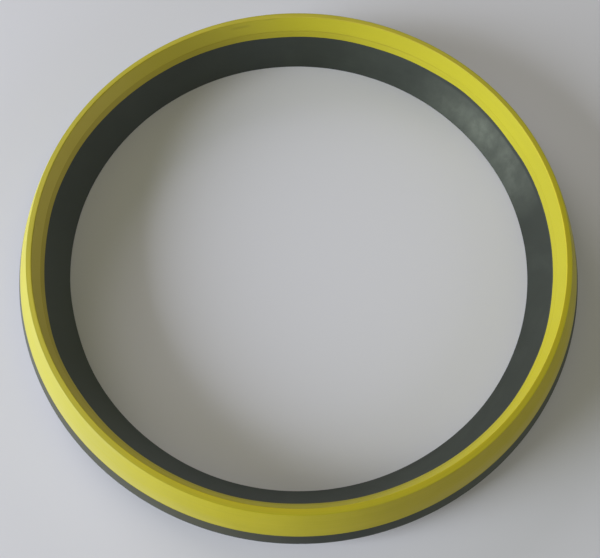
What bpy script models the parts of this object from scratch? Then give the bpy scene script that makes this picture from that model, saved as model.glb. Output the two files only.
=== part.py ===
"""Push-fit pipe seal: a rubber sealing ring moulded onto a hard retaining ring.

The seal lies on its back, as it is put down on a bench, with the side that meets the pipe first
facing up. Z is the pipe's axis and the origin is on the surface that the seal lies on. Lengths
are in metres. Each ring is one section turned about Z.
"""

import math

import bpy
from mathutils import Vector

# The pipe, and how the bore fits it
PIPE_DIAMETER = 0.2000
LIP_SQUEEZE = 0.0046          # the lip's edge stands this far inside the pipe's surface
BORE_CLEARANCE = 0.0013       # from the pipe to the narrowest bore of the retaining ring

# Radial sizes of the section, from the bore outwards
BOND_WIDTH = 0.0103           # the face where the two rings join
WALL_FLARE = 0.00175          # the retaining ring's bore widens by this towards its land
LAND_WIDTH = 0.0022           # the narrow flat top
STRIP_FLARE = 0.0025          # the rubber's outer strip widens by this towards its edge
HEEL_SETBACK = 0.0047         # from the widest edge in to the heel's flat
CHANNEL_OFFSET = 0.0044       # from the bond's inner edge out to the channel at the heel
LIP_TIP = 0.0019
LIP_ROOT = 0.0033

# Heights of the section, from the surface upwards
EDGE_HEIGHT = 0.0062          # the widest edge
STRIP_HEIGHT = 0.00585        # the rubber's outer strip
BOND_RISE = 0.00215           # the bond face climbs by this from the outside to the bore
RING_HEIGHT = 0.01265         # the retaining ring's outer face
CHANNEL_DEPTH = 0.0080        # the relief behind the lip
CHANNEL_DRAFT = 0.0005

# The tongue of rubber that keys into the retaining ring
TONGUE_BASE = 0.0032
TONGUE_CREST = 0.0024
TONGUE_HEIGHT = 0.0040
BOND_GAP = 0.0003

# The fine groove round the retaining ring's bore, where its mould parts
PARTING_HEIGHT = 0.0029       # above the bond's inner edge
PARTING_WIDTH = 0.0004
PARTING_DEPTH = 0.0002

# Roundings
RUBBER_EDGE_ROUND = 0.0008
LIP_ROUND = 0.0005
HEEL_ROUND = 0.0015
CHANNEL_ROUND = 0.0014
TONGUE_ROUND = 0.0007
LAND_ROUND = 0.0003
RING_BOW = 0.0002             # how far each outer face swells from a straight cone
STRIP_BOW = 0.0001

# Fineness
TURN_STEPS = 96
ARC_STEPS = 3
BOW_STEPS = 3
LONGEST_REACH = 0.45          # a rounding takes up at most this share of a side
SHARP_ANGLE = math.radians(35)

# Sizes that follow
PIPE_RADIUS = PIPE_DIAMETER / 2
LIP_RADIUS = PIPE_RADIUS - LIP_SQUEEZE
BOND_BORE = PIPE_RADIUS + BORE_CLEARANCE
BOND_RIM = BOND_BORE + BOND_WIDTH
WIDEST_RADIUS = BOND_RIM + STRIP_FLARE
LAND_BORE = BOND_BORE + WALL_FLARE
LAND_RIM = LAND_BORE + LAND_WIDTH
BOND_RIM_HEIGHT = EDGE_HEIGHT + STRIP_HEIGHT
BOND_BORE_HEIGHT = BOND_RIM_HEIGHT + BOND_RISE
TOTAL_HEIGHT = BOND_RIM_HEIGHT + RING_HEIGHT


def between(start, end, share):
    return start + (end - start) * share


def bond_height(radius):
    """Height of the sloping bond face at a radius."""
    return between(BOND_BORE_HEIGHT, BOND_RIM_HEIGHT, (radius - BOND_BORE) / BOND_WIDTH)


def bore_radius(height):
    """Radius of the retaining ring's bore wall at a height."""
    share = (height - BOND_BORE_HEIGHT) / (TOTAL_HEIGHT - BOND_BORE_HEIGHT)
    return between(BOND_BORE, LAND_BORE, share)


def outer_radius(height):
    """Radius of the retaining ring's outer cone at a height."""
    return between(BOND_RIM, LAND_RIM, (height - BOND_RIM_HEIGHT) / RING_HEIGHT)


def cone_radius(height):
    """Radius of the sealing lip's inner cone at a height."""
    return between(LIP_RADIUS, BOND_BORE, height / BOND_BORE_HEIGHT)


def rounded(corners):
    """Outline through corners (radius, height, rounding), each rounding drawn as an arc."""
    outline = []
    for index, (radius, height, rounding) in enumerate(corners):
        corner = Vector((radius, height))
        if rounding == 0:
            outline.append(corner)
            continue
        back = Vector(corners[index - 1][:2]) - corner
        ahead = Vector(corners[(index + 1) % len(corners)][:2]) - corner
        half_angle = back.angle(ahead) / 2
        longest = LONGEST_REACH * min(back.length, ahead.length)
        reach = min(rounding / math.tan(half_angle), longest)
        arc_radius = reach * math.tan(half_angle)
        middle = (back.normalized() + ahead.normalized()).normalized()
        centre = corner + middle * (arc_radius / math.sin(half_angle))
        first = corner + back.normalized() * reach - centre
        last = corner + ahead.normalized() * reach - centre
        turn = math.atan2(first.x * last.y - first.y * last.x, first.dot(last))
        start = math.atan2(first.y, first.x)
        for step in range(ARC_STEPS + 1):
            angle = start + turn * step / ARC_STEPS
            outline.append(centre + arc_radius * Vector((math.cos(angle), math.sin(angle))))
    return outline


def bowed(start, end, bow):
    """Points between two corners of a face that swells outwards, by bow at its middle."""
    start, end = Vector(start), Vector(end)
    along = end - start
    outwards = Vector((-along.y, along.x)).normalized()
    points = []
    for step in range(1, BOW_STEPS):
        share = step / BOW_STEPS
        swell = bow * math.sin(math.pi * share)
        point = start + along * share + outwards * swell
        points.append((point.x, point.y, 0))
    return points


def key_corners(clearance):
    """Corners of the bond face and its tongue, from the bore outwards.

    The sealing ring takes them as they are, and the retaining ring moved off by the bond gap.
    """
    crest_height = bond_height((BOND_BORE + BOND_RIM) / 2) + TONGUE_HEIGHT
    middle = (bore_radius(crest_height) + outer_radius(crest_height)) / 2
    base = TONGUE_BASE / 2 + clearance
    crest = TONGUE_CREST / 2 + clearance
    return [
        (BOND_BORE, BOND_BORE_HEIGHT + clearance, 0),
        (middle - base, bond_height(middle - base) + clearance, 0),
        (middle - crest, crest_height + clearance, TONGUE_ROUND),
        (middle + crest, crest_height + clearance, TONGUE_ROUND),
        (middle + base, bond_height(middle + base) + clearance, 0),
        (BOND_RIM, BOND_RIM_HEIGHT + clearance, 0),
    ]


def retaining_section():
    """Hard ring: outer cone down, grooved bond face inwards, bore wall up to the land."""
    rim = (BOND_RIM, BOND_RIM_HEIGHT + BOND_GAP)
    parting = BOND_BORE_HEIGHT + PARTING_HEIGHT
    below = parting - PARTING_WIDTH / 2
    above = parting + PARTING_WIDTH / 2
    corners = [(LAND_RIM, TOTAL_HEIGHT, LAND_ROUND)]
    corners += bowed((LAND_RIM, TOTAL_HEIGHT), rim, RING_BOW)
    corners += reversed(key_corners(BOND_GAP))
    corners += [
        (bore_radius(below), below, 0),
        (bore_radius(parting) + PARTING_DEPTH, parting, 0),
        (bore_radius(above), above, 0),
        (LAND_BORE, TOTAL_HEIGHT, LAND_ROUND),
    ]
    return rounded(corners)


def sealing_section():
    """Rubber ring: outer strip, heel, relief channel, lip and its inner cone, keyed bond face."""
    rim = (BOND_RIM, BOND_RIM_HEIGHT)
    edge = (WIDEST_RADIUS, EDGE_HEIGHT)
    channel = BOND_BORE + CHANNEL_OFFSET
    corners = bowed(rim, edge, STRIP_BOW)
    corners += [
        (*edge, RUBBER_EDGE_ROUND),
        (WIDEST_RADIUS - HEEL_SETBACK, 0, HEEL_ROUND),
        (channel, 0, LIP_ROUND),
        (channel - CHANNEL_DRAFT, CHANNEL_DEPTH, CHANNEL_ROUND),
        (cone_radius(CHANNEL_DEPTH) + LIP_ROOT, CHANNEL_DEPTH, CHANNEL_ROUND),
        (LIP_RADIUS + LIP_TIP, 0, LIP_ROUND),
        (LIP_RADIUS, 0, LIP_ROUND),
    ]
    corners += key_corners(0)
    return rounded(corners)


def moulded_material(name, colour, roughness):
    """A plain surface that isn't metal."""
    material = bpy.data.materials.new(name)
    material.use_nodes = True
    shader = material.node_tree.nodes["Principled BSDF"]
    shader.inputs["Base Color"].default_value = (*colour, 1)
    shader.inputs["Roughness"].default_value = roughness
    shader.inputs["Metallic"].default_value = 0
    return material


def hard_yellow_plastic():
    return moulded_material("hard_yellow_plastic", colour=(0.50, 0.46, 0.045), roughness=0.55)


def dark_rubber():
    return moulded_material("dark_rubber", colour=(0.042, 0.047, 0.043), roughness=0.70)


def turned_ring(name, section, material, collection):
    """One full turn of a closed section about Z."""
    count = len(section)
    sides = [(index, (index + 1) % count) for index in range(count)]
    profile = bpy.data.meshes.new(name)
    profile.from_pydata([(point.x, 0, point.y) for point in section], sides, [])
    ring = bpy.data.objects.new(name, profile)
    collection.objects.link(ring)
    screw = ring.modifiers.new("Turn", 'SCREW')
    screw.angle = 2 * math.pi
    screw.steps = TURN_STEPS
    screw.render_steps = TURN_STEPS
    screw.use_merge_vertices = True
    screw.merge_threshold = 0.00001
    evaluated = ring.evaluated_get(bpy.context.evaluated_depsgraph_get())
    turned = bpy.data.meshes.new_from_object(evaluated)
    ring.modifiers.remove(screw)
    ring.data = turned
    bpy.data.meshes.remove(profile)
    turned.name = name
    turned.materials.append(material)
    turned.shade_smooth()
    turned.set_sharp_from_angle(angle=SHARP_ANGLE)
    return ring


def build():
    for leftover in list(bpy.data.objects):
        bpy.data.objects.remove(leftover)
    collection = bpy.data.collections.new("pipe_seal")
    bpy.context.scene.collection.children.link(collection)
    turned_ring("retaining_ring", retaining_section(), hard_yellow_plastic(), collection)
    turned_ring("sealing_ring", sealing_section(), dark_rubber(), collection)


build()
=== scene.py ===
import math

import bpy
import numpy as np
from mathutils import Matrix, Vector


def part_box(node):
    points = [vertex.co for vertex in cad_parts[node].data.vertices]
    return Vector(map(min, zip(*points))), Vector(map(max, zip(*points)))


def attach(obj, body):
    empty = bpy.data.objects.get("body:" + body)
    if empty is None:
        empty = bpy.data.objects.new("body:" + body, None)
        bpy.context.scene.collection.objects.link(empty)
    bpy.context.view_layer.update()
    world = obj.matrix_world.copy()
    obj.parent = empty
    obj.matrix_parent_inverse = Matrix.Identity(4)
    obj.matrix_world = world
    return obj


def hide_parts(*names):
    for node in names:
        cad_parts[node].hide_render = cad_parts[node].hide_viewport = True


# Pipe seal on white paper: a hard yellow ring with a dark rubber lip ring moulded to its back.
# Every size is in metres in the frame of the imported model, with the pipe's axis along Z.

mm = 0.001
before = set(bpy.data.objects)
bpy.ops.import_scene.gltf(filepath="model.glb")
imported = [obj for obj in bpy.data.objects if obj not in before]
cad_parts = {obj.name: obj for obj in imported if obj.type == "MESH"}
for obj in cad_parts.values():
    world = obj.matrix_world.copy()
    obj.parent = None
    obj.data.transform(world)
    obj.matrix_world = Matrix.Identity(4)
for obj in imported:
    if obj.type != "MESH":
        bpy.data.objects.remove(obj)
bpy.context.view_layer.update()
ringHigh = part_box("retaining_ring")[1]
print("frame loaded", sorted(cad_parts))


# Section tools

turning = {
    "steps": 780,                  # round the ring
    "arcPieces": 5,                # in each rounded corner
    "longestReach": 0.45,          # a rounding takes up at most this share of a straight side
    "sharpAngle": 40,              # in degrees: steeper edges are shaded sharp
    "fine": 0.50 * mm,             # spacing of the points along the straight sides
    "coarse": 1.20 * mm,
    "hidden": 2.60 * mm,
}

# every stretch of a section carries its number in the mesh, where the materials read it
sideNumber = {"outer": 0, "land": 1, "bore": 2, "groove": 3, "under": 4, "bond": 5}


def cornerArc(corner, before, after, rounding):
    # arc that touches both sides of a corner: its centre lies on the corner's bisector
    corner, before, after = (np.array(point[:2], float) for point in (corner, before, after))
    back = before - corner
    ahead = after - corner
    backLength, aheadLength = np.linalg.norm(back), np.linalg.norm(ahead)
    back, ahead = back / backLength, ahead / aheadLength
    half = math.acos(np.clip(back @ ahead, -1, 1)) / 2
    longest = turning["longestReach"] * min(backLength, aheadLength)
    reach = min(rounding / math.tan(half), longest)
    radius = reach * math.tan(half)
    middle = back + ahead
    centre = corner + middle / np.linalg.norm(middle) * radius / math.sin(half)
    first = corner + back * reach - centre
    last = corner + ahead * reach - centre
    turn = math.atan2(first[0] * last[1] - first[1] * last[0], first @ last)
    start = math.atan2(first[1], first[0])
    angles = start + np.linspace(0, turn, turning["arcPieces"] + 1)
    return centre + radius * np.stack([np.cos(angles), np.sin(angles)], 1)


def bowedFace(start, end, swells, side):
    # corners along a swollen face: each is (share of the way, distance out from the straight line)
    start, end = np.array(start), np.array(end)
    outwards = np.array([start[1] - end[1], end[0] - start[0]])
    outwards = outwards / np.linalg.norm(outwards)
    points = [start * (1 - share) + end * share + outwards * swell for share, swell in swells]
    return [(point[0], point[1], 0, turning["fine"], sideNumber[side]) for point in points]


def closedOutline(corners):
    # corners are (radius, height, rounding, spacing, side): each is turned with an arc, and the
    # straight side that follows it is split at its own spacing and carries the side's number
    stretches = []
    for index, corner in enumerate(corners):
        before, after = corners[index - 1], corners[(index + 1) % len(corners)]
        if corner[2] > 0:
            stretches.append(cornerArc(corner, before, after, corner[2]))
        else:
            stretches.append(np.array([corner[:2]], float))
    points, sides = [], []
    for index, stretch in enumerate(stretches):
        spacing, side = corners[index][3], corners[index][4]
        following = stretches[(index + 1) % len(stretches)][0]
        length = np.linalg.norm(following - stretch[-1])
        count = max(1, int(round(length / spacing)))
        share = np.arange(1, count)[:, None] / count
        between = stretch[-1] + (following - stretch[-1]) * share
        points.append(np.concatenate([stretch, between]))
        sides.append(np.full(len(stretch) + len(between), side, float))
    return np.concatenate(points), np.concatenate(sides)


def turnedSurface(name, corners, shift):
    # point(angle, step) = radius(step) + radial shift(angle, step) out from the axis,
    # at height(step) + upward shift(angle, step); the first and last angles are joined
    outline, sides = closedOutline(corners)
    angles = np.linspace(0, 2 * math.pi, turning["steps"], endpoint=False)
    radius = outline[None, :, 0]
    height = outline[None, :, 1]
    outwards, upwards = shift(angles[:, None], radius, height, sides[None, :])
    radius = radius + outwards
    height = height + upwards
    place = np.stack([radius * np.cos(angles)[:, None],
                      radius * np.sin(angles)[:, None],
                      np.broadcast_to(height, radius.shape)], 2)
    turns, steps = radius.shape
    row = (np.arange(turns) * steps)[:, None]
    nextRow = (np.roll(np.arange(turns), -1) * steps)[:, None]
    column = np.arange(steps)[None, :]
    nextColumn = np.roll(np.arange(steps), -1)[None, :]
    faces = np.stack([row + column, row + nextColumn, nextRow + nextColumn, nextRow + column], 2)
    mesh = bpy.data.meshes.new(name)
    mesh.from_pydata(place.reshape(-1, 3), [], faces.reshape(-1, 4))
    # each point also carries its distance along the section, in mm, and its side's number
    step = np.linalg.norm(np.roll(outline, -1, 0) - outline, axis=1)
    along = np.concatenate([[0], np.cumsum(step)[:-1]])
    for label, values in (("along", along / mm), ("side", sides)):
        carried = mesh.attributes.new(label, "FLOAT", "POINT")
        carried.data.foreach_set("value", np.tile(values, turns).astype(np.float32))
    mesh.shade_smooth()
    mesh.set_sharp_from_angle(angle=math.radians(turning["sharpAngle"]))
    mesh.update()
    piece = bpy.data.objects.new(name, mesh)
    bpy.context.scene.collection.objects.link(piece)
    return piece


# The section, from the frame: radii from the rims inwards, heights from the surface upwards

section = {
    "landWidth": 2.20 * mm,
    "landInset": 6.35 * mm,        # from the hard ring's rim in to the land's outer edge
    "landDroop": 0.11 * mm,
    "landRound": 0.20 * mm,
    "bondWidth": 10.30 * mm,
    "bondGap": 0.06 * mm,
    "bondFade": 2.00 * mm,         # the bond's stray dies away over this much of the bond face
    "rimHeight": 12.05 * mm,
    "bondRise": 2.15 * mm,
    "edgeHeight": 6.20 * mm,
    "edgeFlare": 2.495 * mm,
    "edgeRound": 0.80 * mm,
    "lipInset": 16.20 * mm,        # from the hard ring's rim in to the lip's edge
    "lipTip": 1.90 * mm,
    "lipRoot": 3.30 * mm,
    "lipRound": 0.35 * mm,
    "heelSetback": 4.70 * mm,
    "heelRound": 1.50 * mm,
    "channelInset": 5.90 * mm,
    "channelDepth": 8.00 * mm,
    "channelDraft": 0.50 * mm,
    "channelRound": 1.40 * mm,
    "channelMouthRound": 0.50 * mm,
    "tongueBase": 3.20 * mm,
    "tongueCrest": 2.40 * mm,
    "tongueHeight": 4.00 * mm,
    "tongueRound": 0.70 * mm,
    "partingHeight": 3.16 * mm,
    "partingWidth": 0.40 * mm,
    "partingDepth": 0.09 * mm,
    "ringBow": 0.20 * mm,
    "stripBow": 0.10 * mm,
}
rimRadius = ringHigh.x
topHeight = ringHigh.z
boreRadius = rimRadius - section["bondWidth"]
boreHeight = section["rimHeight"] + section["bondRise"]
landRim = rimRadius - section["landInset"]
landBore = landRim - section["landWidth"]
lipRadius = rimRadius - section["lipInset"]
widest = rimRadius + section["edgeFlare"]
lineHeight = boreHeight + section["partingHeight"]


def boreWall(height):
    # radius of the hard ring's bore at a height: straight from the bond to the land
    return boreRadius + (landBore - boreRadius) * (height - boreHeight) / (topHeight - boreHeight)


def outerWall(height):
    # radius of the hard ring's outer face at a height: straight from the rim to the land
    rise = (height - section["rimHeight"]) / (topHeight - section["rimHeight"])
    return rimRadius + (landRim - rimRadius) * rise


def lipCone(height):
    # radius of the lip's inner cone at a height: straight from the lip's edge to the bond
    return lipRadius + (boreRadius - lipRadius) * height / boreHeight


def bondFace(radius):
    # height of the bond at a radius: straight from the bore down to the rim
    share = (radius - boreRadius) / section["bondWidth"]
    return boreHeight - section["bondRise"] * share


def bondCorners(gap):
    # the bond from the bore to just short of the rim, with the tongue halfway between the walls
    crest = bondFace((boreRadius + rimRadius) / 2) + section["tongueHeight"]
    middle = (boreWall(crest) + outerWall(crest)) / 2
    base = section["tongueBase"] / 2 + gap
    top = section["tongueCrest"] / 2 + gap
    corners = [
        (boreRadius, boreHeight + gap, 0),
        (middle - base, bondFace(middle - base) + gap, 0),
        (middle - top, crest + gap, section["tongueRound"]),
        (middle + top, crest + gap, section["tongueRound"]),
        (middle + base, bondFace(middle + base) + gap, 0),
    ]
    return [(*corner, turning["coarse"], sideNumber["bond"]) for corner in corners]


# How the two rings stray from round, in the same way on both, so that they meet all the way.
# Each rise is (degrees round from +X, width in degrees, height in mm)

wander = {
    "bondOut": [(16, 7, 0.07), (28, 6, -0.35), (46, 5, 0.25), (57, 6, -0.19), (70, 9, -0.41),
                (84, 9, -0.07), (98, 9, -0.25), (110, 8, 0.12), (121, 6, 0.18), (138, 12, 0.16),
                (156, 10, 0.50), (171, 8, 0.50), (183, 7, 0.09), (194, 7, 0.14), (208, 10, 0.69),
                (228, 14, 0.28), (250, 14, -0.14), (272, 12, -0.42), (292, 11, -0.24),
                (308, 9, 0.16), (322, 9, 0.58), (337, 9, 0.50), (353, 9, 0.06)],
    "bondUp": [(22, 3, 0.10), (31, 4, -0.08), (104, 3.5, 0.14), (121, 5, -0.08), (47, 5, 0.08)],
    "lipOut": [(14, 16, -0.08), (40, 16, -0.37), (66, 16, -0.16), (90, 14, 0.05), (112, 14, 0.26),
               (134, 12, 0.13), (155, 12, -0.05), (178, 12, -0.12), (201, 10, -0.40),
               (252, 16, 0.21), (304, 10, -0.06), (318, 10, 0.15), (340, 14, 0.06)],
    "landOut": [(208, 36, -0.24), (340, 20, 0.08)],
    "landIn": [(338, 22, 0.22), (142, 16, 0.14)],
    "leftFlat": [(182, 20, -0.28)],
}

# each ripple is (height in mm, whole numbers of waves round the ring)
ripples = {
    "bondOut": (0.06, (17, 29, 41)),
    "bondUp": (0.05, (23, 37, 53)),
    "lipOut": (0.05, (7, 19, 33)),
    "landOut": (0.03, (11, 27, 43)),
    "landIn": (0.03, (13, 31, 47)),
}

# the mould's groove is partly filled, except near one angle at the back of the bore
grooveFilled = {"share": 0.7, "openAt": 85, "openWidth": 55}


def bump(angle, at, width, height):
    # bell-shaped rise round the ring: height times e to minus the square of distance over width
    away = (np.degrees(angle) - at + 180) % 360 - 180
    return height * np.exp(-(away / width) ** 2)


def sumOfBumps(angle, bumps):
    return sum(bump(angle, at, width, height * mm) for at, width, height in bumps)


def ripple(angle, amount, counts):
    # a few sine waves round the ring, each with its own whole number of turns and its own start
    waves = [np.sin(count * angle + 1.7 * count) / math.sqrt(count) for count in counts]
    return amount * sum(waves) / len(counts)


def stray(angle, name):
    height, counts = ripples[name]
    return sumOfBumps(angle, wander[name]) + ripple(angle, height * mm, counts)


def bondFade(radius):
    # on the bond face the stray fades to nothing over its first two millimetres
    return np.clip(1 - (radius - boreRadius) / section["bondFade"], 0, 1)


def ringShift(angle, radius, height, side):
    # the bond's stray fades to nothing up the bore wall, and the whole ring shares the flat
    onBond = side == sideNumber["bond"]
    inGroove = side == sideNumber["groove"]
    share = np.clip((topHeight - height) / (topHeight - boreHeight), 0, 1)
    onBore = (side == sideNumber["bore"]) | inGroove
    fade = np.where(onBore, share, np.where(onBond, bondFade(radius), 0))
    # the land's two edges wander too, fading to nothing down both walls
    foot = np.where(side == sideNumber["outer"], section["rimHeight"], boreHeight)
    rise = np.clip((height - foot) / (topHeight - foot), 0, 1) * ~onBond
    across = np.clip((radius - landBore) / (landRim - landBore), 0, 1)
    edge = (stray(angle, "landIn") * (1 - across) + stray(angle, "landOut") * across) * rise
    opened = bump(angle, grooveFilled["openAt"], grooveFilled["openWidth"], 1)
    filled = grooveFilled["share"] * (1 - opened) * (radius - boreWall(height)) * inGroove
    outwards = sumOfBumps(angle, wander["leftFlat"]) + stray(angle, "bondOut") * fade + edge - filled
    return outwards, stray(angle, "bondUp") * fade


def sealShift(angle, radius, height, side):
    # the bond's stray fades to nothing down the cone, where the lip's own stray takes over
    share = np.clip(height / boreHeight, 0, 1)
    onCone = side == sideNumber["bore"]
    onBond = np.where(side == sideNumber["bond"], bondFade(radius), 0)
    bond = stray(angle, "bondOut")
    cone = bond * share + stray(angle, "lipOut") * (1 - share)
    outwards = sumOfBumps(angle, wander["leftFlat"]) + np.where(onCone, cone, bond * onBond)
    return outwards, stray(angle, "bondUp") * np.where(onCone, share ** 2, onBond)


def retainingRing():
    # outer face down, grooved bond inwards, bore wall with the mould's line up, and the land
    gap = section["bondGap"]
    fine, coarse = turning["fine"], turning["coarse"]
    outer, land, bore, groove, bond = (sideNumber[name] for name in
                                       ("outer", "land", "bore", "groove", "bond"))
    below = lineHeight - section["partingWidth"] / 2
    above = lineHeight + section["partingWidth"] / 2
    rim = (rimRadius, section["rimHeight"] + gap)
    swells = [(share, section["ringBow"] * math.sin(math.pi * share)) for share in (0.2, 0.4, 0.6, 0.8)]
    corners = [(landRim, topHeight - section["landDroop"], section["landRound"], fine, outer)]
    corners += bowedFace((landRim, topHeight), rim, swells, "outer")
    corners += [(*rim, 0, coarse, bond)]
    corners += bondCorners(gap)[:0:-1]
    corners += [
        (boreRadius, boreHeight + gap, 0, fine, bore),
        (boreWall(below), below, 0, fine, groove),
        (boreWall(lineHeight) + section["partingDepth"], lineHeight, 0, fine, groove),
        (boreWall(above), above, 0, fine, bore),
        (landBore, topHeight, section["landRound"], fine, land),
    ]
    return turnedSurface("retaining_ring_surface", corners, ringShift)


def sealingRing():
    # outer strip down to the widest edge, heel, relief channel, lip, inner cone up, and the bond
    fine, hidden = turning["fine"], turning["hidden"]
    outer, bore, under = (sideNumber[name] for name in ("outer", "bore", "under"))
    rim = (rimRadius, section["rimHeight"])
    edge = (widest, section["edgeHeight"])
    channel = rimRadius - section["channelInset"]
    depth = section["channelDepth"]
    swells = [(share, section["stripBow"]) for share in (0.33, 0.67)]
    corners = bowedFace(rim, edge, swells, "outer")
    corners += [
        (*edge, section["edgeRound"], fine, under),
        (widest - section["heelSetback"], 0, section["heelRound"], fine, under),
        (channel, 0, section["channelMouthRound"], hidden, under),
        (channel - section["channelDraft"], depth, section["channelRound"], hidden, under),
        (lipCone(depth) + section["lipRoot"], depth, section["channelRound"], hidden, under),
        (lipRadius + section["lipTip"], 0, section["channelMouthRound"], fine, under),
        (lipRadius, 0, section["lipRound"], fine, bore),
    ]
    corners += bondCorners(0)
    corners += [(*rim, 0, fine, outer)]
    return turnedSurface("sealing_ring_surface", corners, sealShift)


# Shader sums: a wrapped socket adds the Math node for each operator used on it

class Wire:
    def __init__(self, tree, socket=None):
        self.tree = tree
        self.socket = socket

    def node(self, kind, settings=None, inputs=None, output=0):
        # any other node: its settings first, then the values or links of its sockets
        made = self.tree.nodes.new(kind)
        for label, value in (settings or {}).items():
            setattr(made, label, value)
        for label, value in (inputs or {}).items():
            if isinstance(value, Wire):
                value.feed(made.inputs[label])
            else:
                made.inputs[label].default_value = value
        return Wire(self.tree, made.outputs[output])

    def feed(self, socket):
        self.tree.links.new(self.socket, socket)

    def maths(self, operation, *values):
        return self.node("ShaderNodeMath", {"operation": operation}, dict(enumerate(values)))

    def __add__(self, other):
        return self.maths("ADD", self, other)

    def __radd__(self, other):
        return self.maths("ADD", other, self)

    def __sub__(self, other):
        return self.maths("SUBTRACT", self, other)

    def __rsub__(self, other):
        return self.maths("SUBTRACT", other, self)

    def __mul__(self, other):
        return self.maths("MULTIPLY", self, other)

    def __rmul__(self, other):
        return self.maths("MULTIPLY", other, self)

    def __truediv__(self, other):
        return self.maths("DIVIDE", self, other)

    def __pow__(self, other):
        return self.maths("POWER", self, other)

    def __abs__(self):
        return self.maths("ABSOLUTE", self)

    def larger(self, other):
        return self.maths("MAXIMUM", self, other)

    def between(self, low, high):
        # 0 below low, 1 above high, with a smooth rise in between
        return self.node("ShaderNodeMapRange", {"interpolation_type": "SMOOTHSTEP"},
                         {"Value": self, "From Min": low, "From Max": high})

    def clipped(self):
        return self.node("ShaderNodeClamp", {}, {"Value": self})


def blendColour(factor, first, second):
    # colours are plain triples or wires; the Mix node's colour sockets are inputs 6 and 7, output 2
    first, second = (colour if isinstance(colour, Wire) else (*colour, 1)
                     for colour in (first, second))
    return factor.node("ShaderNodeMix", {"data_type": "RGBA", "blend_type": "MIX"},
                       {0: factor, 6: first, 7: second}, 2)


def newMaterial(name):
    # a material with its shader, and a wire with the point's place on the object
    material = bpy.data.materials.new(name)
    material.use_nodes = True
    tree = material.node_tree
    place = Wire(tree).node("ShaderNodeTexCoord", {}, {}, "Object")
    return material, tree.nodes["Principled BSDF"], place


def roundPlace(place):
    # where a point is round the ring: the unit direction from the axis, the height, the radius
    apart = place.node("ShaderNodeSeparateXYZ", {}, {0: place})
    x, y, z = (Wire(place.tree, socket) for socket in apart.socket.node.outputs)
    radius = (x * x + y * y) ** 0.5
    return {"dirX": x / radius, "dirY": y / radius, "z": z, "radius": radius}


def noise(vector, scale=1.0, detail=3.0, roughness=0.5, distortion=0.0):
    return vector.node("ShaderNodeTexNoise", {"noise_dimensions": "3D"},
                       {"Vector": vector, "Scale": scale, "Detail": detail,
                        "Roughness": roughness, "Distortion": distortion})


def roundNoise(spot, third, pace, detail, roughness):
    # noise that changes at one pace round the ring, and across it as the third value does
    vector = spot["dirX"].node("ShaderNodeCombineXYZ", {},
                               {0: spot["dirX"] * pace, 1: spot["dirY"] * pace, 2: third})
    return noise(vector, detail=detail, roughness=roughness)


def attribute(place, name):
    return place.node("ShaderNodeAttribute", {"attribute_name": name}, {}, "Fac")


def facing(spot, *sides):
    # each side is (degrees round from +X, half width in degrees, strength): it has its strength
    # where a point lies at that angle and falls smoothly to 0 over the width; sides are summed
    total = None
    for degrees, width, strength in sides:
        angle = math.radians(degrees)
        cosine = spot["dirX"] * math.cos(angle) + spot["dirY"] * math.sin(angle)
        part = cosine.between(math.cos(math.radians(width)), 1.0) * strength
        total = part if total is None else total + part
    return total


def onSide(side, name):
    # 1 on one stretch of the section, falling off between it and its neighbours
    return 1 - abs(side - sideNumber[name]).between(0.0, 0.6)


def onOuterFace(side):
    return 1 - side.between(0.0, 0.5)


# The hard ring's finish. A side is (degrees round from +X, half width in degrees, strength)

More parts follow.
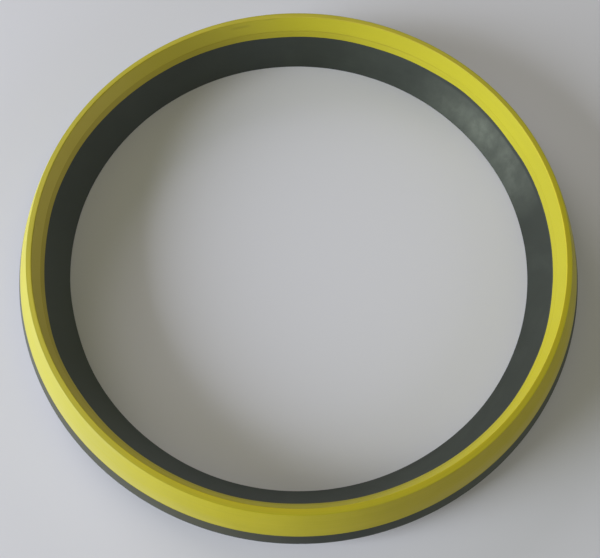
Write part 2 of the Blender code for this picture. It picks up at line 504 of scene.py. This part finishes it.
hardYellow = {
    "outer": (0.425, 0.386, 0.010),
    "outerDeep": (0.352, 0.312, 0.006),
    "outerTan": (0.436, 0.360, 0.018),
    "outerPale": (0.475, 0.425, 0.045),
    "outerSunny": (0.500, 0.446, 0.012),
    # the inner and land colours are painted brighter than the outer one: painted bounced light
    "inner": (0.446, 0.408, 0.014),
    "innerDeep": (0.376, 0.338, 0.018),
    "innerFull": (0.508, 0.458, 0.020),
    "innerRich": (0.412, 0.358, 0.005),
    "land": (0.500, 0.412, 0.012),
    "landPale": (0.550, 0.472, 0.044),
    "paintedBounceLight": (0.560, 0.470, 0.030),
    "paintedSheen": (0.560, 0.480, 0.130),
    # pale colour of a painted sheen
    "paintedHaze": (0.45, 0.42, 0.32),
    "chalk": (0.64, 0.62, 0.34),
    # painted shade, for the mould line's groove and the wall below it
    "parting": (0.22, 0.17, 0.02),
    "streak": (0.17, 0.13, 0.02),
    # sides where the outer face is painted another colour: painted light and shade, with a painted
    # sheen on the right
    "outerTints": [("outerTan", [(290, 75, 0.90)]), ("outerPale", [(8, 40, 0.80)]),
                   ("outerSunny", [(258, 32, 0.55)])],
    # painted light and shade on the bore by side: bounced light, sheen, fuller light at the back, and
    # shade
    "boreTints": [("paintedBounceLight", [(183, 106, 0.85)]), ("paintedSheen", [(184, 60, 0.58), (124, 34, 0.38)]),
                  ("innerFull", [(86, 72, 0.60)]), ("innerDeep", [(352, 42, 0.70)]),
                  ("innerRich", [(308, 44, 0.80)])],
    # sides where the land is painted paler: painted light
    "landPaleSides": [(75, 75, 0.90), (190, 60, 0.85)],
    "streakNoise": {"pace": 2.0, "detail": 3.0, "roughness": 0.6},
    "streakAlong": 1.6,                # how fast the streaks change along the section
    "lineNoise": {"pace": 1.2, "detail": 2.0, "roughness": 0.5},
    "lineAlong": 5.0,
    "blotchNoise": {"scale": 55.0, "detail": 4.0, "roughness": 0.55},
    "deepBy": {"streaks": 0.9, "lines": 0.5, "blotch": 0.8, "all": 0.35},
    # painted shade on the bore wall below the mould's line, by side
    "shadeBelowLineSides": [(158, 62, 0.30), (95, 35, 0.13), (280, 50, 0.15)],
    "shadeBelowLineAll": 0.07,
    "shadeFadeBelow": 0.25 * mm,           # the painted shade fades from here below the mould's line
    "shadeFadeAbove": 0.15 * mm,           # to here above it
    # where the outer face is painted a pale sheen, low down
    "paintedHazeSides": [(328, 40, 0.20), (235, 30, 0.12)],
    "paintedHazeHeight": 7.0 * mm,
    # the outer face's left side: chalky wear with a painted sheen
    "wornAndSheenSide": (200, 62, 1.0),
    "wornAndSheenBy": {"all": 0.12, "streaks": 0.30, "blotch": 0.12},
    "breakNoise": {"pace": 6.0, "detail": 3.0, "roughness": 0.6},
    "breakRange": (0.25, 0.65),
    "breakBy": 0.6,                    # share of the mould's line that the breaks take away
    "clearSide": (86, 45, 0.35),
    "clearAll": 0.05,
    # two marks on the bore: at and width in degrees, how far below the land, and half thickness
    "streakMark": {"at": 96.0, "width": 4.2, "strength": 0.45, "below": 0.22 * mm,
                   "slant": 9.0 * mm, "half": 0.45 * mm},
    "smudge": {"at": 105.5, "width": 3.0, "strength": 0.28, "below": 2.5 * mm, "half": 0.9 * mm},
    "roughness": 0.55,
    "rougherBy": {"blotch": 0.12, "wornAndSheen": 0.3, "groove": 0.3},
    "specular": 0.28,
    "grainNoise": {"scale": 2600.0, "detail": 3.0, "roughness": 0.6},
    "grainShare": 0.5,                 # the rest of the relief comes from the lines
    "relief": {"Strength": 0.25, "Distance": 0.00004},
}


def hardYellowMaterial():
    material, shader, place = newMaterial("hardYellowPlastic")
    spot = roundPlace(place)
    z = spot["z"]
    along = attribute(place, "along")
    side = attribute(place, "side")
    # streaks run round the ring: the noise changes fast along the section and slowly round it
    streaks = roundNoise(spot, along * hardYellow["streakAlong"], **hardYellow["streakNoise"])
    lines = roundNoise(spot, along * hardYellow["lineAlong"], **hardYellow["lineNoise"])
    blotch = noise(place, **hardYellow["blotchNoise"])
    by = hardYellow["deepBy"]
    depth = ((streaks - 0.5) * by["streaks"] + (lines - 0.5) * by["lines"]
             + (blotch - 0.5) * by["blotch"] + by["all"]).clipped()
    # the bore and the land are painted a little brighter than the outer face, painted light for light
    # bounced inside the ring, and the land is painted paler at the back and on the left, painted light
    outerFace = onOuterFace(side)
    paler = facing(spot, *hardYellow["landPaleSides"]).clipped()
    land = blendColour(paler, hardYellow["land"], hardYellow["landPale"])
    brighterBoreAndLand = blendColour(onSide(side, "land"), hardYellow["inner"], land)
    # the outer face is painted other colours by side: tan at the front right, a paler painted sheen on
    # the right, brighter painted light at the front
    outer = hardYellow["outer"]
    for tint, sides in hardYellow["outerTints"]:
        outer = blendColour(facing(spot, *sides), outer, hardYellow[tint])
    base = blendColour(outerFace, brighterBoreAndLand, outer)
    deep = blendColour(outerFace, hardYellow["innerDeep"], hardYellow["outerDeep"])
    colour = blendColour(depth, base, deep)
    # the bore wall is painted by side for how light falls there: a warmer, brighter yellow on the left
    # for light bounced across the ring, a pale painted sheen on the left and back left, a fuller
    # painted light at the back, and painted shade, deeper on the right and richer at the near right
    bore = side.between(1.2, 1.8)
    for tint, sides in hardYellow["boreTints"]:
        colour = blendColour(facing(spot, *sides) * bore, colour, hardYellow[tint])
    # below the line where the mould parts the wall is painted darker, most of all at the back and the
    # left: painted shade for the lower wall catching less light
    underLine = 1 - z.between(lineHeight - hardYellow["shadeFadeBelow"],
                              lineHeight + hardYellow["shadeFadeAbove"])
    paintedShadeBelowLine = (facing(spot, *hardYellow["shadeBelowLineSides"]) + hardYellow["shadeBelowLineAll"]) * underLine * bore
    colour = blendColour(paintedShadeBelowLine, colour, hardYellow["parting"])
    # a pale painted sheen low on the outer face, just above the rubber
    low = 1 - z.between(section["rimHeight"], section["rimHeight"] + hardYellow["paintedHazeHeight"])
    paintedPaleHaze = facing(spot, *hardYellow["paintedHazeSides"]) * low * outerFace
    colour = blendColour(paintedPaleHaze, colour, hardYellow["paintedHaze"])
    # chalky wear on the outer face, where it has been dragged over a bench, and a painted sheen over
    # the same side
    by = hardYellow["wornAndSheenBy"]
    wornAndSheen = facing(spot, hardYellow["wornAndSheenSide"]) * outerFace
    rubbedAndSheen = wornAndSheen * (by["all"] + (streaks - 0.5) * by["streaks"] + (blotch - 0.5) * by["blotch"])
    colour = blendColour(rubbedAndSheen.clipped(), colour, hardYellow["chalk"])
    # thin line where the mould parts, painted dark as shade in its groove, clearest towards the back of
    # the bore
    groove = onSide(side, "groove")
    broken = roundNoise(spot, 0.0, **hardYellow["breakNoise"]).between(*hardYellow["breakRange"])
    clear = hardYellow["clearAll"] + facing(spot, hardYellow["clearSide"])
    line = groove * (broken * hardYellow["breakBy"] + (1 - hardYellow["breakBy"])) * clear
    colour = blendColour(line, colour, hardYellow["parting"])
    # one dark streak that leaves the land's inner edge at a slant
    mark = hardYellow["streakMark"]
    markAngle = math.radians(mark["at"])
    sideways = spot["dirY"] * math.cos(markAngle) - spot["dirX"] * math.sin(markAngle)
    offStreak = (z - (topHeight - mark["below"]) + sideways * mark["slant"]) / mark["half"]
    acrossStreak = (1 - abs(offStreak)).clipped() * bore
    streak = facing(spot, (mark["at"], mark["width"], mark["strength"])) * acrossStreak
    # and a faint smudge below it
    mark = hardYellow["smudge"]
    offSmudge = (z - (topHeight - mark["below"])) / mark["half"]
    acrossSmudge = (1 - abs(offSmudge)).clipped() * (1 - outerFace)
    smudge = facing(spot, (mark["at"], mark["width"], mark["strength"])) * acrossSmudge
    colour = blendColour(streak.larger(smudge), colour, hardYellow["streak"])
    colour.feed(shader.inputs["Base Color"])
    by = hardYellow["rougherBy"]
    gloss = (hardYellow["roughness"] + (blotch - 0.5) * by["blotch"] + rubbedAndSheen * by["wornAndSheen"]
             + groove * by["groove"])
    gloss.feed(shader.inputs["Roughness"])
    shader.inputs["Specular IOR Level"].default_value = hardYellow["specular"]
    share = hardYellow["grainShare"]
    grain = noise(place, **hardYellow["grainNoise"]) * share + lines * (1 - share)
    relief = place.node("ShaderNodeBump", {}, {**hardYellow["relief"], "Height": grain})
    relief.feed(shader.inputs["Normal"])
    return material


# The rubber ring's finish, with sides as above. A painted pale side also names the colour it is
# painted, and a chalk patch is (degrees round from +X, half width in degrees, height in mm, strength)

darkRubber = {
    "base": (0.038, 0.045, 0.033),
    "deep": (0.029, 0.034, 0.026),
    "dark": (0.023, 0.027, 0.019),
    "pale": (0.075, 0.088, 0.083),
    "paintedPaleHaze": (0.090, 0.103, 0.092),
    "stripPale": (0.075, 0.086, 0.062),
    "stripBrown": (0.070, 0.070, 0.044),
    "bloom": (0.075, 0.086, 0.066),
    "scuff": (0.150, 0.167, 0.126),
    "mottleNoise": {"scale": 85.0, "detail": 5.0, "roughness": 0.6, "distortion": 0.4},
    "streakNoise": {"pace": 5.0, "detail": 4.0, "roughness": 0.6},
    "streakAlong": 0.8,
    "deepBy": {"mottle": 1.1, "streaks": 0.7, "all": 0.4},
    # sides painted paler: painted light on the shaded rubber
    "paintedPaleSides": [(205, 105, 0.62, "pale"), (212, 45, 0.60, "paintedPaleHaze"), (120, 34, 0.32, "pale")],
    "paintedShadeCone": (348, 55, 0.90),
    "darkerStrip": (262, 26, 0.60),
    # sides where the strip is painted paler: painted sheen
    "stripTints": [("stripPale", (323, 42, 0.70)), ("stripBrown", (234, 46, 0.90))],
    "bloomNoise": {"scale": 38.0, "detail": 5.0, "roughness": 0.6, "distortion": 0.8},
    "bloomRange": (0.46, 0.74),
    "bloomBy": 0.16,
    "haze": (34, 26, 0.31),
    "chalkPatches": [(34.8, 5.5, 7.0, 0.30), (38.5, 4.0, 7.5, 0.12), (44.5, 5.5, 6.5, 0.09),
                     (26.5, 6.0, 8.2, 0.09), (47.0, 5.0, 8.5, 0.08), (19.0, 10.0, 6.0, 0.05)],
    "patchHalf": 7.0 * mm,             # half height of a patch
    "chalkFades": (1.9 * mm, 0.5 * mm),  # below the cone's top edge the chalk fades between these
    "cloudNoise": {"pace": 12.5, "detail": 4.0, "roughness": 0.6},
    "cloudUp": (120.0, 5.0),           # pace up the cone, and where the clouds start
    "cloudRange": (0.34, 0.66),
    "cloudBy": (0.7, 0.5),
    "speckNoise": {"scale": 300.0, "detail": 3.0, "roughness": 0.6},
    "speckBy": (0.6, 0.8),
    "roughness": 0.72,
    "rougherBy": {"mottle": 0.15, "chalk": 0.12},
    "specular": 0.26,
    "grainNoise": {"scale": 1800.0, "detail": 4.0, "roughness": 0.65},
    "relief": {"Strength": 0.35, "Distance": 0.00006},
}


def chalkOnCone(place, spot, cone):
    # chalky patches rubbed onto the cone in a thin haze, short of its top edge
    z = spot["z"]
    haze = facing(spot, darkRubber["haze"])
    for angle, width, height, strength in darkRubber["chalkPatches"]:
        offPatch = (z - height * mm) / darkRubber["patchHalf"]
        tall = (1 - abs(offPatch)).between(0.0, 1.0)
        haze = haze + facing(spot, (angle, width, strength)) * tall
    lowest, highest = (boreHeight - depth for depth in darkRubber["chalkFades"])
    below = 1 - z.between(lowest, highest)
    pace, start = darkRubber["cloudUp"]
    cloud = roundNoise(spot, z * pace + start, **darkRubber["cloudNoise"])
    thin, thick = darkRubber["cloudBy"]
    clouds = thin + cloud.between(*darkRubber["cloudRange"]) * thick
    thin, thick = darkRubber["speckBy"]
    specks = thin + noise(place, **darkRubber["speckNoise"]) * thick
    return haze * cone * below * clouds * specks


def darkRubberMaterial():
    material, shader, place = newMaterial("darkRubber")
    spot = roundPlace(place)
    along = attribute(place, "along")
    side = attribute(place, "side")
    cone = onSide(side, "bore")
    strip = onOuterFace(side)
    mottle = noise(place, **darkRubber["mottleNoise"])
    streaks = roundNoise(spot, along * darkRubber["streakAlong"], **darkRubber["streakNoise"])
    by = darkRubber["deepBy"]
    depth = ((mottle - 0.5) * by["mottle"] + (streaks - 0.5) * by["streaks"] + by["all"]).clipped()
    colour = blendColour(depth, darkRubber["base"], darkRubber["deep"])
    # the side away from the lamps is painted paler, painted light for glare on the shaded rubber, and
    # the cone is painted darker on its lit side, painted shade; the strip is darker at the front
    for angle, width, strength, paintedHaze in darkRubber["paintedPaleSides"]:
        colour = blendColour(facing(spot, (angle, width, strength)), colour, darkRubber[paintedHaze])
    darkerSides = (facing(spot, darkRubber["paintedShadeCone"]) * cone
               + facing(spot, darkRubber["darkerStrip"]) * strip)
    colour = blendColour(darkerSides.clipped(), colour, darkRubber["dark"])
    # the strip is painted paler at the front right and a paler brown at the front left: painted sheen
    # where it is seen edge-on
    for tint, tintSide in darkRubber["stripTints"]:
        colour = blendColour(facing(spot, tintSide) * strip, colour, darkRubber[tint])
    bloom = noise(place, **darkRubber["bloomNoise"]).between(*darkRubber["bloomRange"])
    colour = blendColour(bloom * darkRubber["bloomBy"], colour, darkRubber["bloom"])
    chalk = chalkOnCone(place, spot, cone)
    colour = blendColour(chalk.clipped(), colour, darkRubber["scuff"])
    colour.feed(shader.inputs["Base Color"])
    by = darkRubber["rougherBy"]
    gloss = darkRubber["roughness"] + (mottle - 0.5) * by["mottle"] + chalk * by["chalk"]
    gloss.feed(shader.inputs["Roughness"])
    shader.inputs["Specular IOR Level"].default_value = darkRubber["specular"]
    grain = noise(place, **darkRubber["grainNoise"])
    relief = place.node("ShaderNodeBump", {}, {**darkRubber["relief"], "Height": grain})
    relief.feed(shader.inputs["Normal"])
    return material


def dress(piece, material, node):
    piece.data.materials.append(material)
    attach(piece, "root")
    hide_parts(node)


dress(retainingRing(), hardYellowMaterial(), "retaining_ring")
print("retaining ring made")
dress(sealingRing(), darkRubberMaterial(), "sealing_ring")
print("sealing ring made")


# Floor, camera and light

stageSettings = {
    "paper": (0.745, 0.742, 0.75),
    "farPaper": (0.683, 0.679, 0.676),
    "darkerFrom": 0.105,               # the paper is painted a little darker away from the seal: painted shade for the light falling off
    "darkerTo": 0.155,
    "roughness": 0.9,
    "specular": 0.2,
    "halfSize": 3.0,
    "fadeFrom": 0.24,                  # the paper fades into the background between these radii
    "fadeTo": 0.60,
    "horizon": (0.62, 0.63, 0.64),     # only what the camera sees past the paper
    "room": (0.185, 0.186, 0.122),
}


def layFloor():
    bpy.ops.mesh.primitive_plane_add(size=2 * stageSettings["halfSize"])
    floor = bpy.context.object
    floor.name = "paper"
    material, shader, place = newMaterial("plainPaper")
    radius = roundPlace(place)["radius"]
    # only the camera sees the paper fade: its bounced light stays whole
    seen = place.node("ShaderNodeLightPath", {}, {}, "Is Camera Ray")
    fade = radius.between(stageSettings["fadeFrom"], stageSettings["fadeTo"]) * seen
    (1 - fade).feed(shader.inputs["Alpha"])
    # painted shade: the paper darkens away from the seal, for the light falling off
    away = radius.between(stageSettings["darkerFrom"], stageSettings["darkerTo"])
    paper = blendColour(away, stageSettings["paper"], stageSettings["farPaper"])
    paper.feed(shader.inputs["Base Color"])
    shader.inputs["Roughness"].default_value = stageSettings["roughness"]
    shader.inputs["Specular IOR Level"].default_value = stageSettings["specular"]
    floor.data.materials.append(material)


cameraSettings = {
    "focalPixels": 700.0,
    "frameWidth": 600.0,
    "sensorWidth": 36.0,
    "place": (0.0, -0.11546, 0.27104),
    "turns": (("X", 21.056), ("Y", -0.125), ("Z", 0.945)),   # tilt, yaw and roll, in degrees
}


def placeCamera():
    data = bpy.data.cameras.new("camera")
    data.sensor_width = cameraSettings["sensorWidth"]
    data.lens = cameraSettings["focalPixels"] / cameraSettings["frameWidth"] * data.sensor_width
    camera = bpy.data.objects.new("camera", data)
    tilt, yaw, roll = (Matrix.Rotation(math.radians(degrees), 4, axis)
                       for axis, degrees in cameraSettings["turns"])
    camera.matrix_world = Matrix.Translation(cameraSettings["place"]) @ (tilt @ yaw @ roll)
    bpy.context.scene.collection.objects.link(camera)
    bpy.context.scene.camera = camera


# Upright soft boxes round the seal: where each stands, in degrees round from +X and metres away,
# the elevations of its lower and upper edge and its half width as seen from the seal, and its power

softBoxes = {
    "window": {"azimuth": 197, "low": 4, "high": 32, "half": 14, "away": 1.4,
               "watts": 36.5, "colour": (0.785, 0.83, 0.975)},
    "side": {"azimuth": 130, "low": 6, "high": 36, "half": 18, "away": 2.0,
             "watts": 27, "colour": (0.83, 0.80, 0.94)},
    "front": {"azimuth": 290, "low": 4, "high": 40, "half": 20, "away": 2.0,
              "watts": 7, "colour": (0.84, 0.81, 1.0)},
    "right": {"azimuth": -10, "low": 4, "high": 40, "half": 20, "away": 2.0,
              "watts": 7, "colour": (0.93, 0.89, 1.0)},
}


def placeSoftBox(name, box):
    low = box["away"] * math.tan(math.radians(box["low"]))
    high = box["away"] * math.tan(math.radians(box["high"]))
    data = bpy.data.lights.new(name, "AREA")
    data.shape = "RECTANGLE"
    data.size = 2 * box["away"] * math.tan(math.radians(box["half"]))
    data.size_y = high - low
    data.energy = box["watts"]
    data.color = box["colour"]
    lamp = bpy.data.objects.new(name, data)
    azimuth = math.radians(box["azimuth"])
    outwards = Vector((math.cos(azimuth), math.sin(azimuth), 0))
    lamp.location = outwards * box["away"] + Vector((0, 0, (low + high) / 2))
    lamp.rotation_mode = "QUATERNION"
    lamp.rotation_quaternion = outwards.to_track_quat("Z", "Y")
    lamp.visible_camera = False
    bpy.context.scene.collection.objects.link(lamp)


def placeRoomLight():
    world = bpy.data.worlds.new("room")
    world.use_nodes = True
    tree = world.node_tree
    seen = Wire(tree).node("ShaderNodeLightPath", {}, {}, "Is Camera Ray")
    colour = blendColour(seen, stageSettings["room"], stageSettings["horizon"])
    colour.feed(tree.nodes["Background"].inputs["Color"])
    bpy.context.scene.world = world


layFloor()
placeCamera()
for name, box in softBoxes.items():
    placeSoftBox(name, box)
placeRoomLight()
bpy.context.scene.view_settings.view_transform = "Standard"
print("stage set")

bpy.context.view_layer.update()
